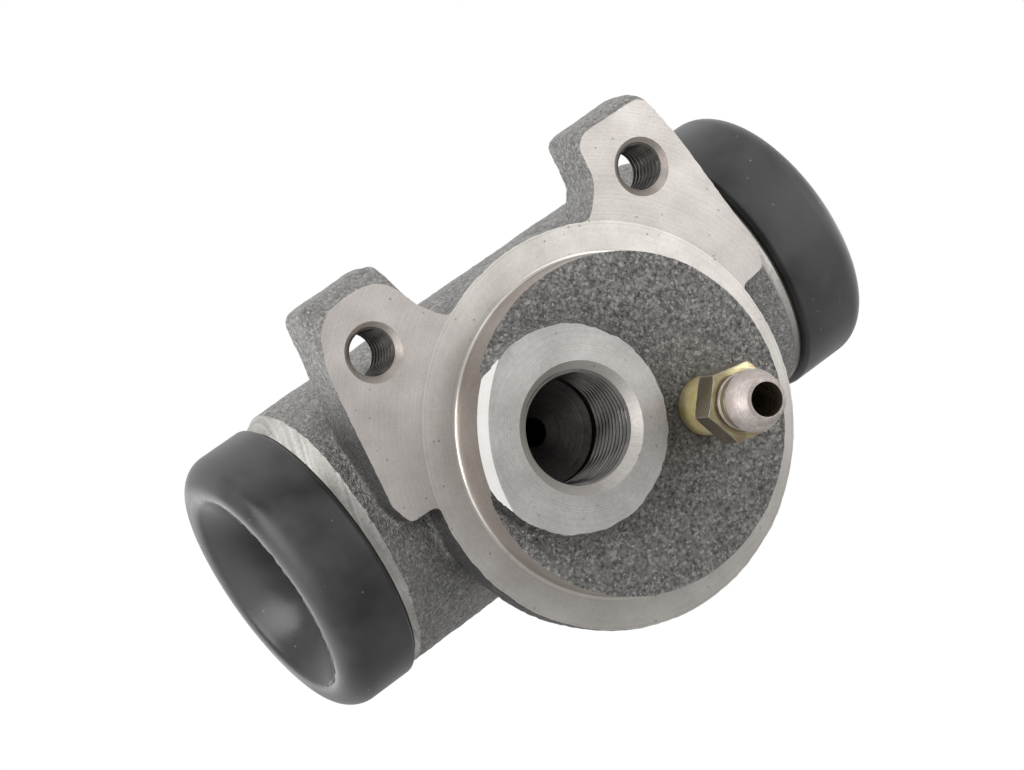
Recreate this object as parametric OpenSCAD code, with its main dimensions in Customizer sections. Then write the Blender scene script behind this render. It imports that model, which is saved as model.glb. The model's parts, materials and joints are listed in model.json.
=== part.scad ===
// Drum brake wheel cylinder: housing, bleed screw, two boots, and the pistons, cups, expanders and
// spring in the bore. Millimetres. Origin at the hub centre on the mounting face, +X along the bore,
// -Y out of the mounting face along the spigot, +Z from the hub towards the ears.

/* [Bore and barrel] */
// Bore diameter
bore_d = 19.05; // [17:0.05:21]
// Wall between the bore and the cast outside
wall_t = 5.2; // [4.8:0.05:6]
// How far the cast outside sits off the bore axis, towards the ears
cast_shift = 0.4; // [0:0.1:0.8]
// Distance from the mounting face back to the front of the barrel
barrel_setback = 3.2; // [2.8:0.1:4]
// Height of the bore axis above the hub centre
axis_rise = 3.25; // [2:0.05:4]
// How far the middle of the bore sits off the hub centre
bore_offset = -0.3; // [-0.8:0.1:0.8]
// Distance between the two boot shoulders
shoulder_len = 53.6; // [52:0.2:62]
// Width of the turned band beside each boot
band_w = 1.3; // [0.8:0.1:2]
// Step from the cast outside down to the turned band
band_step = 0.5; // [0.4:0.1:0.9]
// Wall of the turned neck inside each boot
neck_wall = 2.3; // [2:0.1:2.8]
// Length of the turned neck inside each boot
neck_len = 3.5; // [3:0.1:4.5]
// Depth of the boot groove in the neck
groove_depth = 0.7; // [0.4:0.1:0.9]
// Width of the boot groove in the neck
groove_w = 1.4; // [1:0.1:1.8]
// Lead-in chamfer at each bore mouth
mouth_chamfer = 1; // [0.6:0.1:1.2]

/* [Flange and spigot] */
// Outside diameter of the hub flange
flange_d = 40.8; // [39:0.2:44]
// Thickness of the flange rim
flange_t = 3.8; // [3:0.1:5]
// Depth of the hub cone behind the flange
hub_depth = 9; // [7:0.5:11]
// Radius lost over the hub cone
hub_taper = 8; // [6:0.5:10]
// Diameter of the turned spigot
spigot_d = 34; // [33:0.1:35]
// Height of the spigot's cast end above the mounting face
spigot_h = 4.1; // [3.6:0.1:5]
// Chamfer at the foot of the spigot
foot_chamfer = 0.55; // [0.3:0.05:0.9]
// Radius lost over the spigot's lead-in chamfer
lead_in = 1.15; // [0.6:0.05:1.4]
// Straight height of the spigot below its lead-in chamfer
spigot_straight = 5.35; // [4.9:0.05:5.4]

/* [Ears] */
// Distance between the two ear holes
ear_spacing = 34.6; // [33:0.2:36]
// Height of the ear holes above the hub centre
ear_rise = 19.7; // [18.5:0.1:21]
// Distance from the ear holes up to the top of the ears
ear_top = 6.5; // [6:0.1:7.5]
// Distance from the ear holes out to the ears' outer sides
ear_out = 4.25; // [3.8:0.05:5]
// Distance from the ear holes in to the ears' inner sides
ear_in = 5.35; // [4.8:0.05:6]
// Corner radius at the top of the ears
ear_round = 1.5; // [1:0.1:2]
// Flare of the ears' sides at their feet
ear_foot = 0.7; // [0.4:0.05:1]
// How far both cast ears sit off their holes, towards +X
ear_shift = 0.3; // [0:0.05:0.5]
// Thickness of the ears
ear_t = 7; // [6:0.1:8]
// Step from the mounting face back to the ear faces
ear_step = 0.3; // [0.1:0.05:0.5]
// Wall hole diameter of the ear threads
ear_hole_d = 5; // [4.6:0.1:5.4]
// Diameter of the chamfer on each ear hole
ear_chamfer_d = 6.3; // [5.8:0.1:6.8]
// Height of the pad's lower corners above the hub centre
pad_corner = 4; // [3:0.1:6]
// Distance from the ear holes out to the pad's sides
pad_side = 6.7; // [6:0.1:7.5]
// Cut at the pad's lower corners
pad_cut = 0.8; // [0.4:0.1:1.2]

/* [Inlet port] */
// Port position along the bore
port_x = -5.5; // [-6.5:0.1:-5]
// Port height above the hub centre
port_z = 2.95; // [2.4:0.05:3.6]
// Diameter of the spot-faced port boss
boss_d = 20.2; // [18.5:0.1:21]
// How far the boss sits off the port, away from the hub centre
boss_out = 1; // [0.6:0.1:1.4]
// Height of the boss above the spigot's cast end
boss_h = 1.75; // [1.2:0.05:2.2]
// Wall hole diameter of the port thread
port_hole_d = 10.9; // [10.4:0.1:11.4]
// Diameter of the chamfer at the port mouth
port_chamfer_d = 13.2; // [12.6:0.1:13.8]
// Depth of the threaded hole below the boss face
port_depth = 9.6; // [8.5:0.1:10]
// Point angle of the drill that bored the port
drill_angle = 118; // [90:2:130]
// Diameter of the drilled passage from the port to the bore
passage_d = 3; // [2:0.1:3.4]

/* [Bleed screw] */
// Bleed screw position along the bore
bleed_x = 7.8; // [7:0.1:8.5]
// Bleed screw height above the hub centre
bleed_z = -3; // [-4:0.1:-2]
// Diameter of the bleed screw's shank
bleed_d = 6; // [5.6:0.1:6.6]
// Radial clearance of the shank in its hole
bleed_clearance = 0.05; // [0.02:0.01:0.1]
// Depth of the shank below the spigot's cast end
bleed_depth = 8; // [7:0.1:9]
// Length of bare shank between the casting and the hexagon
bleed_stand = 4.8; // [4:0.1:5.5]
// Width of the hexagon across its flats
hex_af = 7; // [7:0.1:8]
// Thickness of the hexagon
hex_t = 3.15; // [2.6:0.05:3.8]
// Angle the hexagon stands turned from the bore
hex_turn = 11.5; // [0:0.5:30]
// Chamfer on the hexagon's corners
hex_chamfer = 0.35; // [0.2:0.05:0.5]
// Diameter of the neck under the nipple
nipple_neck_d = 4.9; // [4.4:0.1:5.3]
// Length of the neck under the nipple
nipple_neck_len = 1.8; // [1.4:0.1:2.4]
// Width of the nipple's back edge
nipple_edge = 0.5; // [0.3:0.05:0.7]
// Largest diameter of the nipple
nipple_d = 6.15; // [5.6:0.05:6.6]
// Diameter of the nipple's end face
nipple_tip_d = 4.1; // [4:0.1:4.6]
// Length of the nipple beyond the hexagon
nipple_len = 4.8; // [4:0.1:6]
// Diameter of the hole down the nipple
nipple_hole_d = 3.4; // [2.4:0.1:3.5]
// Diameter of the drilled passage from the bleed hole to the bore
bleed_passage_d = 1.8; // [1.2:0.1:2.2]

/* [Boots] */
// Step from the turned band out to the boot
boot_step = 0.65; // [0.3:0.05:0.9]
// Mean length of the boots from shoulder to crest
boot_len = 8.4; // [7.9:0.05:9]
// How much longer the right boot stands than the mean, and shorter the left one
boot_uneven = 0.7; // [0:0.05:0.7]
// Length of the boot's roll, from its straight outer wall to its crest
boot_roll = 2.7; // [2.4:0.1:3.4]
// Radius from the boot's outside in to its crest
crest_in = 2.8; // [2.4:0.1:3.4]
// Thickness of the boot's funnel
boot_t = 1.3; // [1:0.05:1.5]
// Clearance of the boot's lip on the piston
lip_clearance = 0.06; // [0.03:0.01:0.1]

/* [Pistons, cups and spring] */
// Radial clearance of the pistons in the bore
piston_clearance = 0.04; // [0.02:0.01:0.08]
// Length of each piston's body
piston_len = 12; // [11:0.1:12.4]
// Edge break on each piston
edge_break = 0.4; // [0.2:0.05:0.6]
// Diameter of each piston's snout
snout_d = 11.6; // [11:0.1:12]
// Length of each piston's snout
snout_len = 4.6; // [4.2:0.1:5]
// Width of the snout's rim beyond its lip groove
snout_rim = 0.8; // [0.6:0.1:1]
// Depth of the lip groove in the snout
lip_groove = 0.8; // [0.4:0.1:1]
// Width of the lip groove in the snout
lip_w = 1.4; // [1:0.1:1.6]
// Width of the shoe slot in each snout
slot_w = 5; // [4.6:0.1:5.4]
// Depth of the shoe slot in each snout
slot_depth = 3.8; // [3:0.1:4.2]
// Thickness of the solid base of each cup
cup_base = 1.6; // [1.2:0.1:2]
// Wall of each cup at the root of its lip
cup_wall = 2.5; // [2.2:0.1:2.8]
// Taper of the cup's hollow, in radius for each unit of height
cup_rise = 0.55; // [0.4:0.05:0.6]
// Height of each cup's lip
cup_lip = 2.2; // [1.8:0.1:2.4]
// Radial clearance of the cups in the bore
cup_clearance = 0.03; // [0.02:0.01:0.06]
// Thickness of each expander
expander_t = 0.8; // [0.6:0.1:1]
// Height of the boss on each expander
expander_boss = 1.5; // [1.2:0.1:1.8]
// Wire diameter of the return spring
wire_d = 1; // [0.8:0.1:1.2]
// Turns of the return spring
spring_turns = 7; // [6:1:8]
// Mean diameter of the return spring
spring_d = 10.4; // [9.8:0.1:11]
// Radial clearance of the spring around the expanders' bosses
spring_clearance = 0.3; // [0.2:0.05:0.5]

/* [Hidden] */
$fn = 96;
bore_r = bore_d / 2;
barrel_r = bore_r + wall_t;
band_r = barrel_r - band_step;
neck_r = bore_r + neck_wall;
axis_y = barrel_setback + barrel_r;
shoulder_x = shoulder_len / 2;
neck_x = shoulder_x + neck_len;
groove_x = shoulder_x + (neck_len - mouth_chamfer - groove_w) / 2;
flange_r = flange_d / 2;
spigot_r = spigot_d / 2;
boss_top = spigot_h + boss_h;
boss_reach = 1 + boss_out / norm([port_x, port_z]);
port_cone = (port_hole_d - passage_d) / 2 * tan(90 - drill_angle / 2);
boot_r = band_r + boot_step;
crest_r = boot_r - crest_in;
snout_r = snout_d / 2;
lip_r = snout_r - lip_groove;
lip_x = shoulder_x;
piston_r = bore_r - piston_clearance;
snout_x = lip_x + lip_w / 2 + snout_rim;
piston_out = snout_x - snout_len;
piston_in = piston_out - piston_len;
cup_r = bore_r - cup_clearance;
cup_in_r = cup_r - cup_wall;
seat_x = piston_in - cup_base - expander_t;
hex_r = hex_af / 2 / cos(30);
hex_y = spigot_h + bleed_stand;
nipple_y = hex_y + hex_t + nipple_neck_len + nipple_edge;
outer_lean = 8;
inner_lean = 4;

// Points of a quarter ellipse from angle a0 to a1
function arc(cx, cy, rx, ry, a0, a1, n) = [for (i = [0 : n])
    [cx + rx * cos(a0 + (a1 - a0) * i / n), cy + ry * sin(a0 + (a1 - a0) * i / n)]];

// Turns a profile of [x, radius] points about the bore axis
module along_bore(points) {
    translate([bore_offset, axis_y, axis_rise])
        rotate([0, 90, 0])
            rotate_extrude()
                polygon([for (p = points) [p[1], p[0]]]);
}

// Turns a profile of [height, radius] points about an axis that leaves the mounting face
module along_hub(x, z, points) {
    translate([x, 0, z])
        rotate([90, 0, 0])
            rotate_extrude()
                polygon([for (p = points) [p[1], p[0]]]);
}

// Mirror image of a solid on the other end of the bore
module left_end() {
    translate([2 * bore_offset, 0, 0])
        mirror([1, 0, 0])
            children();
}

// Half of the pad and ear outline, drawn on the +X side, with its ear shifted outwards
function ear_outline(shift) = let (hx = ear_spacing / 2, top = ear_rise + ear_top,
                                   out = hx + shift + ear_out, in = hx + shift - ear_in)
    concat([[0, pad_corner - ear_round], [hx + pad_side - pad_cut, pad_corner],
            [hx + pad_side, pad_corner + 3 * pad_cut],
            [out + ear_foot, ear_rise + ear_foot], [out + ear_foot / 2, ear_rise + 3 * ear_foot]],
           arc(out - ear_round, top - ear_round, ear_round, ear_round, outer_lean, 90, 5),
           arc(in + ear_round, top - ear_round, ear_round, ear_round, 90, 180 - inner_lean, 5),
           [[in - ear_foot / 4, ear_rise + 3 * ear_foot], [in - ear_foot, ear_rise + 1.4 * ear_foot],
            [in - 4 * ear_foot, ear_rise - 2 * ear_foot], [0, ear_rise - 8 * ear_foot]]);

// Barrel casting, cut to the turned bands and bevels at both ends
module barrel() {
    intersection() {
        translate([bore_offset - shoulder_x, axis_y, axis_rise + cast_shift])
            rotate([0, 90, 0])
                cylinder(h = shoulder_len, r = barrel_r);
        along_bore([[-shoulder_x, 0], [-shoulder_x, band_r], [-shoulder_x + band_w, band_r],
                    [-shoulder_x + band_w + wall_t, band_r + wall_t],
                    [shoulder_x - band_w - wall_t, band_r + wall_t],
                    [shoulder_x - band_w, band_r], [shoulder_x, band_r], [shoulder_x, 0]]);
    }
}

// Turned necks that carry the boots
module necks() {
    along_bore([[-neck_x, 0], [-neck_x, neck_r], [neck_x, neck_r], [neck_x, 0]]);
}

// Groove in the right-hand neck for the boot's bead
module boot_groove() {
    along_bore([[groove_x, neck_r - groove_depth], [groove_x, neck_r + 0.2],
                [groove_x + groove_w, neck_r + 0.2], [groove_x + groove_w, neck_r - groove_depth]]);
}

// Spigot and port boss, turned to the lead-in chamfer
module spigot() {
    intersection() {
        union() {
            along_hub(0, 0, [[-1, 0], [-1, flange_r], [spigot_h, flange_r], [spigot_h, 0]]);
            along_hub(port_x * boss_reach, port_z * boss_reach,
                      [[0, 0], [0, boss_d / 2 + 0.5], [spigot_h, boss_d / 2 + 0.5],
                       [boss_top, boss_d / 2], [boss_top, 0]]);
        }
        along_hub(0, 0, [[-1, 0], [-1, spigot_r + foot_chamfer], [0, spigot_r + foot_chamfer],
                         [foot_chamfer, spigot_r], [spigot_straight, spigot_r],
                         [boss_top + 0.01, spigot_r - lead_in], [boss_top + 0.01, 0]]);
    }
}

// Casting of the barrel, hub, ears and spigot, with its machined faces and holes
module housing() {
    color([0.42, 0.42, 0.41])
    difference() {
        union() {
            barrel();
            necks();
            along_hub(0, 0, [[-hub_depth - flange_t, 0], [-hub_depth - flange_t, flange_r - hub_taper],
                             [-flange_t, flange_r - 1], [-flange_t, flange_r], [0, flange_r], [0, 0]]);
            for (side = [-1, 1])
                mirror([1 - side, 0, 0])
                    translate([0, ear_step + ear_t, 0])
                        rotate([90, 0, 0])
                            linear_extrude(height = ear_t)
                                polygon(ear_outline(side * ear_shift));
            spigot();
        }
        // Bore, its mouths and the boot grooves
        along_bore([[-neck_x - 1, 0], [-neck_x - 1, bore_r + mouth_chamfer + 1],
                    [-neck_x + mouth_chamfer, bore_r], [neck_x - mouth_chamfer, bore_r],
                    [neck_x + 1, bore_r + mouth_chamfer + 1], [neck_x + 1, 0]]);
        boot_groove();
        left_end()
            boot_groove();
        // Ear holes with a chamfer at each face
        for (side = [-1, 1])
            along_hub(side * ear_spacing / 2, ear_rise,
                      [[-ear_step - ear_t - 1, 0], [-ear_step - ear_t - 1, ear_chamfer_d / 2 + 1],
                       [-ear_step - ear_t + (ear_chamfer_d - ear_hole_d) / 2, ear_hole_d / 2],
                       [-ear_step - (ear_chamfer_d - ear_hole_d) / 2, ear_hole_d / 2],
                       [-ear_step + 1, ear_chamfer_d / 2 + 1], [-ear_step + 1, 0]]);
        // Inlet port with its chamfer, its drill point and the passage to the bore
        along_hub(port_x, port_z,
                  [[-axis_y, 0], [-axis_y, passage_d / 2],
                   [boss_top - port_depth - port_cone, passage_d / 2],
                   [boss_top - port_depth, port_hole_d / 2],
                   [boss_top - (port_chamfer_d - port_hole_d) / 2, port_hole_d / 2],
                   [boss_top + 1, port_chamfer_d / 2 + 1], [boss_top + 1, 0]]);
        // Bleed hole with its seat and the passage to the bore
        along_hub(bleed_x, bleed_z,
                  [[-axis_y, 0], [-axis_y, bleed_passage_d / 2],
                   [spigot_h - bleed_depth - bleed_d / 2 + bleed_passage_d / 2 - 0.2, bleed_passage_d / 2],
                   [spigot_h - bleed_depth - 0.2, bleed_d / 2 + bleed_clearance],
                   [spigot_h + 1, bleed_d / 2 + bleed_clearance], [spigot_h + 1, 0]]);
    }
}

// Bleed screw with its seat cone, hexagon, nipple and drilled way out
module bleed_screw() {
    color([0.72, 0.62, 0.36])
    difference() {
        union() {
            along_hub(bleed_x, bleed_z,
                      [[spigot_h - bleed_depth - bleed_d / 2 + bleed_passage_d / 2, 0],
                       [spigot_h - bleed_depth - bleed_d / 2 + bleed_passage_d / 2, bleed_passage_d / 2],
                       [spigot_h - bleed_depth, bleed_d / 2], [hex_y, bleed_d / 2],
                       [hex_y + hex_t, nipple_neck_d / 2],
                       [nipple_y - nipple_edge, nipple_neck_d / 2], [nipple_y, nipple_d / 2],
                       [hex_y + hex_t + nipple_len, nipple_tip_d / 2], [hex_y + hex_t + nipple_len, 0]]);
            intersection() {
                translate([bleed_x, -hex_y, bleed_z])
                    rotate([90, hex_turn, 0])
                        cylinder(h = hex_t, r = hex_r, $fn = 6);
                along_hub(bleed_x, bleed_z,
                          [[hex_y, 0], [hex_y, hex_r - hex_chamfer], [hex_y + hex_chamfer, hex_r + 0.1],
                           [hex_y + hex_t - hex_chamfer, hex_r + 0.1],
                           [hex_y + hex_t, hex_r - hex_chamfer], [hex_y + hex_t, 0]]);
            }
        }
        along_hub(bleed_x, bleed_z,
                  [[spigot_h - bleed_depth + 0.8, 0], [spigot_h - bleed_depth + 0.8, bleed_passage_d / 2],
                   [hex_y, bleed_passage_d / 2], [hex_y, nipple_hole_d / 2],
                   [hex_y + hex_t + nipple_len + 1, nipple_hole_d / 2], [hex_y + hex_t + nipple_len + 1, 0]]);
        translate([bleed_x - bleed_d, -spigot_h + bleed_depth - bleed_passage_d, bleed_z])
            rotate([0, 90, 0])
                cylinder(h = 2 * bleed_d, d = bleed_passage_d * 0.8, $fn = 32);
    }
}

// Rubber boot on the right-hand neck, of the given length to its crest
module boot(length) {
    color([0.09, 0.09, 0.09])
    along_bore(concat(
        [[shoulder_x, neck_r], [shoulder_x, boot_r - 0.4], [shoulder_x + 0.5, boot_r]],
        arc(shoulder_x + length - boot_roll, crest_r, boot_roll, boot_r - crest_r, 90, 0, 10),
        [[shoulder_x + length - boot_t * 0.4, crest_r - boot_t * 0.45],
         [shoulder_x + length - boot_t * 1.8, crest_r - boot_t * 1.3],
         [neck_x + boot_t * 0.3, bore_r - boot_t * 0.8], [neck_x - boot_t * 1.2, bore_r - boot_t * 2],
         [lip_x + lip_w / 2 - lip_clearance, lip_r + lip_clearance + boot_t * 0.7],
         [lip_x + lip_w / 2 - lip_clearance, lip_r + lip_clearance],
         [lip_x - lip_w / 2 + lip_clearance, lip_r + lip_clearance],
         [lip_x - lip_w / 2 + lip_clearance, lip_r + lip_clearance + boot_t * 1.15],
         [neck_x - boot_t * 1.8, bore_r - boot_t * 1.2],
         [neck_x - boot_t * 0.3, bore_r],
         [neck_x + boot_t * 0.85, neck_r - boot_t * 0.7], [neck_x + boot_t * 0.7, neck_r],
         [groove_x + groove_w, neck_r], [groove_x + groove_w, neck_r - groove_depth],
         [groove_x, neck_r - groove_depth], [groove_x, neck_r]]));
}

// Piston of the right-hand end with its snout, lip groove and shoe slot
module piston() {
    color([0.66, 0.67, 0.69])
    difference() {
        along_bore([[piston_in, 0], [piston_in, piston_r - edge_break], [piston_in + edge_break, piston_r],
                    [piston_out - edge_break, piston_r], [piston_out, piston_r - edge_break],
                    [piston_out, snout_r], [lip_x - lip_w / 2, snout_r], [lip_x - lip_w / 2, lip_r],
                    [lip_x + lip_w / 2, lip_r], [lip_x + lip_w / 2, snout_r], [snout_x - edge_break, snout_r],
                    [snout_x, snout_r - edge_break], [snout_x, 0]]);
        translate([bore_offset + snout_x - slot_depth, axis_y - slot_w / 2, axis_rise - snout_d])
            cube([slot_depth + 1, slot_w, 2 * snout_d]);
    }
}

// Rubber cup on the inner end of the right-hand piston
module cup() {
    color([0.13, 0.13, 0.14])
    along_bore([[piston_in, 0], [piston_in, cup_r - 0.3], [piston_in - 0.3, cup_r - 0.2],
                [piston_in - cup_base - cup_lip, cup_r],
                [piston_in - cup_base - cup_lip, cup_in_r + cup_lip * cup_rise],
                [piston_in - cup_base, cup_in_r], [piston_in - cup_base, 0]]);
}

// Pressed expander inside the right-hand cup, with the boss that centres the spring
module expander() {
    color([0.6, 0.6, 0.58])
    along_bore([[piston_in - cup_base, 0], [piston_in - cup_base, cup_in_r],
                [seat_x, cup_in_r + expander_t * cup_rise],
                [seat_x, (spring_d - wire_d) / 2 - spring_clearance],
                [seat_x - expander_boss, (spring_d - wire_d) / 2 - 2 * spring_clearance],
                [seat_x - expander_boss, 0]]);
}

// Section of the spring wire where the coil is cut square to its axis
function wire_section(pitch, n) = let (half = 360 * wire_d / 2 / pitch)
    concat([for (i = [-n : n]) let (a = half * i / n, t = sqrt(max(0, 1 - i * i / n / n)) * wire_d / 2)
                (spring_d / 2 + t) * [cos(a), sin(a)]],
           [for (i = [n - 1 : -1 : -n + 1]) let (a = half * i / n, t = sqrt(1 - i * i / n / n) * wire_d / 2)
                (spring_d / 2 - t) * [cos(a), sin(a)]]);

// Return spring between the two expanders
module return_spring() {
    color([0.5, 0.5, 0.5])
    translate([bore_offset - seat_x, axis_y, axis_rise])
        rotate([0, 90, 0])
            linear_extrude(height = 2 * seat_x, twist = -360 * spring_turns,
                           slices = 24 * spring_turns, $fn = 12)
                polygon(wire_section(2 * seat_x / spring_turns, 6));
}

housing();
bleed_screw();
left_end() boot(boot_len - boot_uneven);  // left_boot
boot(boot_len + boot_uneven);  // right_boot
left_end() piston();  // left_piston
piston();  // right_piston
left_end() cup();  // left_cup
cup();  // right_cup
left_end() expander();  // left_expander
expander();  // right_expander
return_spring();
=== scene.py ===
# Looks of a drum brake wheel cylinder: a sand-cast iron housing machined where it seats, a plated bleed
# screw, rubber boots over the pistons, and the spring between them. Sizes are in millimetres.
import json
import math

import bmesh
import bpy
from mathutils import Matrix, Vector


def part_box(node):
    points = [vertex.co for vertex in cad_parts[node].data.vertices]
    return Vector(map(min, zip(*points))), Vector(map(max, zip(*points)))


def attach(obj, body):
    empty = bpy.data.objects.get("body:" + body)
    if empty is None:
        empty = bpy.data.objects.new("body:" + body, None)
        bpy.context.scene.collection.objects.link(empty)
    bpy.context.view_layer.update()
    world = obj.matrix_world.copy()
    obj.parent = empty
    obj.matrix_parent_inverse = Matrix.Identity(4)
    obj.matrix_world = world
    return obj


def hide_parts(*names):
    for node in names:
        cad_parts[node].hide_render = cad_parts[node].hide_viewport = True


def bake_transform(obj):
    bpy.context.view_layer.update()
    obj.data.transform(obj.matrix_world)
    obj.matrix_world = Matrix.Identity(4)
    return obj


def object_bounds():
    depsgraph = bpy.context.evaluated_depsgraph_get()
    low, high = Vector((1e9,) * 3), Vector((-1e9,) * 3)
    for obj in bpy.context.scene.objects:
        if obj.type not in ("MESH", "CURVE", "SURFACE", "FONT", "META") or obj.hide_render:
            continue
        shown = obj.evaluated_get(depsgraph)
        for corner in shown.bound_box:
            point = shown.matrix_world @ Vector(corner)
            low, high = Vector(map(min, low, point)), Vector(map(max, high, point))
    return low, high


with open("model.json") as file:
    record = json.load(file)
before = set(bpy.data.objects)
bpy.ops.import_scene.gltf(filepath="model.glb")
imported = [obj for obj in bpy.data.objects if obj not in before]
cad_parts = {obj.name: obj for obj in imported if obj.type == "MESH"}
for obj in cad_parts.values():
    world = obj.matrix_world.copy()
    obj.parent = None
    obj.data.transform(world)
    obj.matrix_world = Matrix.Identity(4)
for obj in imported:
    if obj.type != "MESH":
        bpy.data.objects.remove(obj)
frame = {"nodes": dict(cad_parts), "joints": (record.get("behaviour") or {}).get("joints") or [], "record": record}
solid_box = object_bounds()
scene = bpy.context.scene

# The studio is a white table in a white room. A softbox stands at the right front, one hangs overhead
# and one stands at the left. The room and the table in front light the part less than the camera sees
# them, so that the faced iron shows its tones.
MM = 0.001


def linear(code):
    """Linear colour of an sRGB hex code."""
    channels = [int(code[i:i + 2], 16) / 255 for i in (1, 3, 5)]
    return tuple(c / 12.92 if c <= 0.04045 else ((c + 0.055) / 1.055) ** 2.4 for c in channels) + (1.0,)


def add_node(tree, kind, inputs=None, **settings):
    """Adds a node with its settings. Each input is a value, or a node or socket to link."""
    node = tree.nodes.new(kind)
    for name, value in settings.items():
        setattr(node, name, value)
    for socket, value in (inputs or {}).items():
        if isinstance(value, bpy.types.Node):
            value = value.outputs[0]
        if isinstance(value, bpy.types.NodeSocket):
            tree.links.new(value, node.inputs[socket])
        else:
            node.inputs[socket].default_value = value
    return node


def softbox(name, place, aim, size, power):
    """A rectangular softbox that faces a point."""
    lamp = bpy.data.lights.new(name, "AREA")
    lamp.shape = "RECTANGLE"
    lamp.size, lamp.size_y = size[0] * MM, size[1] * MM
    lamp.energy = power
    box = bpy.data.objects.new(name, lamp)
    box.location = Vector(place) * MM
    box.rotation_euler = (Vector(place) - Vector(aim)).to_track_quat("Z", "Y").to_euler()
    scene.collection.objects.link(box)


softbox("right_softbox", (520, -560, 190), (10, 0, 5), (420, 520), 1.5)
softbox("top_softbox", (-60, -40, 620), (0, 10, 0), (620, 420), 0.62)
softbox("left_softbox", (-560, -90, 270), (-10, 0, 0), (300, 400), 1.8)

room = bpy.data.worlds.new("white_room")
scene.world = room
room.use_nodes = True
tree = room.node_tree
tree.nodes.clear()
compass = add_node(tree, "ShaderNodeSeparateXYZ",
                   {"Vector": add_node(tree, "ShaderNodeTexCoord").outputs["Generated"]})
behind = add_node(tree, "ShaderNodeMapRange",
                  {"Value": compass.outputs["Y"], "From Min": -0.45, "From Max": 0.35,
                   "To Min": 0.58, "To Max": 1.0}, interpolation_type="SMOOTHSTEP")
above = add_node(tree, "ShaderNodeMapRange",
                 {"Value": compass.outputs["Z"], "From Min": -0.6, "From Max": 0.7,
                  "To Min": 0.55, "To Max": 1.02}, interpolation_type="SMOOTHSTEP")
glow = add_node(tree, "ShaderNodeMath", {0: behind, 1: above}, operation="MULTIPLY")
seen = add_node(tree, "ShaderNodeLightPath").outputs["Is Camera Ray"]
strength = add_node(tree, "ShaderNodeMix", {0: seen, 2: glow, 3: 1.0})
backdrop = add_node(tree, "ShaderNodeBackground", {"Color": (1, 1, 1, 1), "Strength": strength})
add_node(tree, "ShaderNodeOutputWorld", {"Surface": backdrop})

reach, gap = 3000 * MM, 0.3 * MM
corners = ((-reach, -reach), (reach, -reach), (reach, reach), (-reach, reach))
table_mesh = bpy.data.meshes.new("table")
table_mesh.from_pydata([(x, y, solid_box[0].z - gap) for x, y in corners], [], [(0, 1, 2, 3)])
table = bpy.data.objects.new("table", table_mesh)
scene.collection.objects.link(table)
table_paint = bpy.data.materials.new("white_table")
table_paint.use_nodes = True
tree = table_paint.node_tree
tree.nodes.clear()
metres = add_node(tree, "ShaderNodeTexCoord").outputs["Object"]
dim_to, bright_from = 20 * MM, 120 * MM
left_away = add_node(tree, "ShaderNodeVectorMath", {0: metres, 1: (-0.8, 0.6, 0)},
                     operation="DOT_PRODUCT")
left_glow = add_node(tree, "ShaderNodeMapRange",
                     {"Value": left_away.outputs["Value"], "From Min": dim_to, "From Max": bright_from,
                      "To Min": 0.4, "To Max": 1.7}, interpolation_type="SMOOTHSTEP")
sideways = add_node(tree, "ShaderNodeSeparateXYZ", {"Vector": metres})
right_glow = add_node(tree, "ShaderNodeMapRange",
                      {"Value": sideways.outputs["X"], "From Min": dim_to, "From Max": bright_from,
                       "To Min": 0.5, "To Max": 2.0}, interpolation_type="SMOOTHSTEP")
glow = add_node(tree, "ShaderNodeMath", {0: left_glow, 1: right_glow}, operation="MAXIMUM")
seen = add_node(tree, "ShaderNodeLightPath").outputs["Is Camera Ray"]
strength = add_node(tree, "ShaderNodeMix", {0: seen, 2: glow, 3: 1.0})
bright = add_node(tree, "ShaderNodeEmission", {"Color": (1, 1, 1, 1), "Strength": strength})
add_node(tree, "ShaderNodeOutputMaterial", {"Surface": bright})
table_mesh.materials.append(table_paint)

# The camera is fitted to the photograph: its place, its turn, its roll and its lens.
azimuth, elevation, roll = (math.radians(angle) for angle in (-21.21, 10.04, -31.7))
back = Vector((math.sin(azimuth) * math.cos(elevation), -math.cos(azimuth) * math.cos(elevation),
               math.sin(elevation)))
level = Vector((math.cos(azimuth), math.sin(azimuth), 0))
right = level * math.cos(roll) + back.cross(level) * math.sin(roll)
lens = bpy.data.cameras.new("camera")
lens.lens = 103.25
lens.clip_start = 1 * MM
camera = bpy.data.objects.new("camera", lens)
camera.matrix_world = Matrix((right, back.cross(right), back)).transposed().to_4x4()
camera.location = Vector((-109.53, -264.05, 59.45)) * MM
scene.collection.objects.link(camera)
scene.camera = camera
scene.view_settings.view_transform = "Standard"

# Finishes of the iron. The skin is what the sand left: dark grey and pebbled, coarser on the spigot's
# end, with painted glints on its grains, and rubbed paler on its edges. Painted shade darkens it in
# its corners and low down on the pads' sides. Where a tool has been, the iron is bright, warm grey and
# ringed.


def new_finish(name):
    """A material with an empty tree, and the place on the piece in millimetres."""
    finish = bpy.data.materials.new(name)
    finish.use_nodes = True
    tree = finish.node_tree
    tree.nodes.clear()
    metres = add_node(tree, "ShaderNodeTexCoord").outputs["Object"]
    place = add_node(tree, "ShaderNodeVectorMath", {0: metres, "Scale": 1 / MM}, operation="SCALE")
    return finish, tree, place


def surface(tree, inputs):
    """Ends a material's tree in its shader."""
    shader = add_node(tree, "ShaderNodeBsdfPrincipled", inputs)
    add_node(tree, "ShaderNodeOutputMaterial", {"Surface": shader})


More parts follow.
